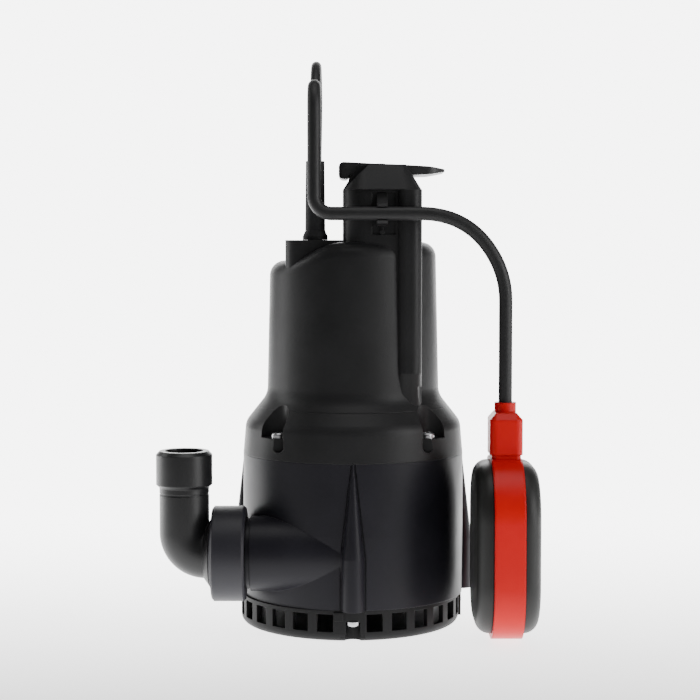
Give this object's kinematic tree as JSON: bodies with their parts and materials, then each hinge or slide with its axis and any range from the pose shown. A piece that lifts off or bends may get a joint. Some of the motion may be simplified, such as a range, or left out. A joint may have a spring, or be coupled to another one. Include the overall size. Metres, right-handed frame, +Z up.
{
  "type": "submersible pump",
  "caption": "Submersible drainage pump with a side discharge elbow, a strainer foot, a handle and a tethered float switch that hangs beside the body.",
  "frame": {"origin": "on the floor plane under the strainer, on the pump's motor axis", "axes": "+Z up along the motor axis, -Y towards the front with the cable clip, -X towards the discharge elbow, +X towards the float"},
  "size_m": [0.2194, 0.3147, 0.3371],
  "materials": {
    "cover": "satin",
    "housing": "satin",
    "nut": "satin",
    "elbow": "satin",
    "base": "matte",
    "handle": "satin",
    "boot": "matte",
    "float_red": "gloss",
    "float_grey": "satin",
    "cable": "satin",
    "plug": "satin",
    "steel": "satin",
    "brass": "polished",
    "inner_plastic": "matte",
    "impeller": "matte",
    "rubber": "matte",
    "ceramic": "polished",
    "copper": "satin",
    "laminations": "matte",
    "aluminium": "satin"
  },
  "bodies": {
    "pump": {"motor_cover": "cover", "cable_clip": "cover", "pump_housing": "housing", "strainer_base": "base", "suction_plate": "base", "handle_grip": "handle", "cable_gland_boot": "boot", "float_cable": "cable", "power_cable": "cable", "power_coil": "cable", "power_tail": "cable", "coil_tie": "plug", "mains_plug": "plug", "plug_pins": "brass", "cover_screws": "steel", "base_screws": "steel", "handle_screws": "steel", "bracket_screws": "steel", "lower_bearing_outer_ring": "steel", "upper_bearing_outer_ring": "steel", "lower_bearing_bracket": "aluminium", "upper_bearing_bracket": "aluminium", "motor_can": "aluminium", "wave_washer": "steel", "stator_core": "laminations", "stator_windings": "copper", "seal_plate": "impeller", "seal_seat": "ceramic", "lip_seal": "rubber", "housing_o_ring": "rubber", "cover_o_ring": "rubber", "union_gasket": "rubber", "check_seat": "inner_plastic", "gland_clamp": "inner_plastic", "capacitor": "inner_plastic", "thermal_protector": "inner_plastic", "terminal_block": "inner_plastic"},
    "rotor": {"shaft": "steel", "rotor_core": "laminations", "impeller": "impeller", "impeller_nut": "brass", "lower_bearing_inner_ring": "steel", "upper_bearing_inner_ring": "steel", "seal_face": "rubber", "seal_spring": "steel"},
    "lower_ball_cage": {"lower_bearing_balls": "steel"},
    "upper_ball_cage": {"upper_bearing_balls": "steel"},
    "elbow": {"discharge_elbow": "elbow"},
    "nut": {"union_nut": "nut"},
    "flap": {"check_flap": "rubber"},
    "float": {"float_band": "float_red", "float_shell_left": "float_grey", "float_shell_right": "float_grey", "float_tether": "cable", "ball_guide": "inner_plastic", "float_microswitch": "rubber"},
    "switch_ball": {"float_ball": "steel"},
    "plunger": {"switch_plunger": "inner_plastic"}
  },
  "joints": [
    {"name": "rotor_spin", "type": "hinge", "parent": "pump", "child": "rotor", "pos_m": [0, 0, 0.1], "axis": [0, 0, 1], "continuous": true},
    {"name": "lower_cage_spin", "type": "hinge", "parent": "pump", "child": "lower_ball_cage", "pos_m": [0, 0, 0.097], "axis": [0, 0, 1], "continuous": true},
    {"name": "upper_cage_spin", "type": "hinge", "parent": "pump", "child": "upper_ball_cage", "pos_m": [0, 0, 0.1915], "axis": [0, 0, 1], "continuous": true},
    {"name": "elbow_swivel", "type": "hinge", "parent": "pump", "child": "elbow", "pos_m": [-0.075, -0.0443, 0.0475], "axis": [1, 0, 0], "range_deg": [-95, 95]},
    {"name": "nut_turn", "type": "hinge", "parent": "pump", "child": "nut", "pos_m": [-0.072, -0.0443, 0.0475], "axis": [1, 0, 0], "range_deg": [0, 360]},
    {"name": "flap_swing", "type": "hinge", "parent": "pump", "child": "flap", "pos_m": [-0.05055, -0.0443, 0.0619], "axis": [0, 1, 0], "range_deg": [0, 28]},
    {"name": "float_swing", "type": "hinge", "parent": "pump", "child": "float", "pos_m": [0.0243, -0.0503, 0.2441], "axis": [0, -1, 0], "range_deg": [0, 88]},
    {"name": "ball_roll", "type": "slide", "parent": "float", "child": "switch_ball", "axis": [0, 0, 1], "range_m": [0, 0.036]},
    {"name": "plunger_press", "type": "slide", "parent": "float", "child": "plunger", "axis": [0, 0, 1], "range_m": [0, 0.0015], "stiffness_N_per_m": 200}
  ],
  "couplings": [
    {"joint": "lower_cage_spin", "follows": "rotor_spin", "ratio": 0.3636},
    {"joint": "upper_cage_spin", "follows": "rotor_spin", "ratio": 0.35}
  ]
}
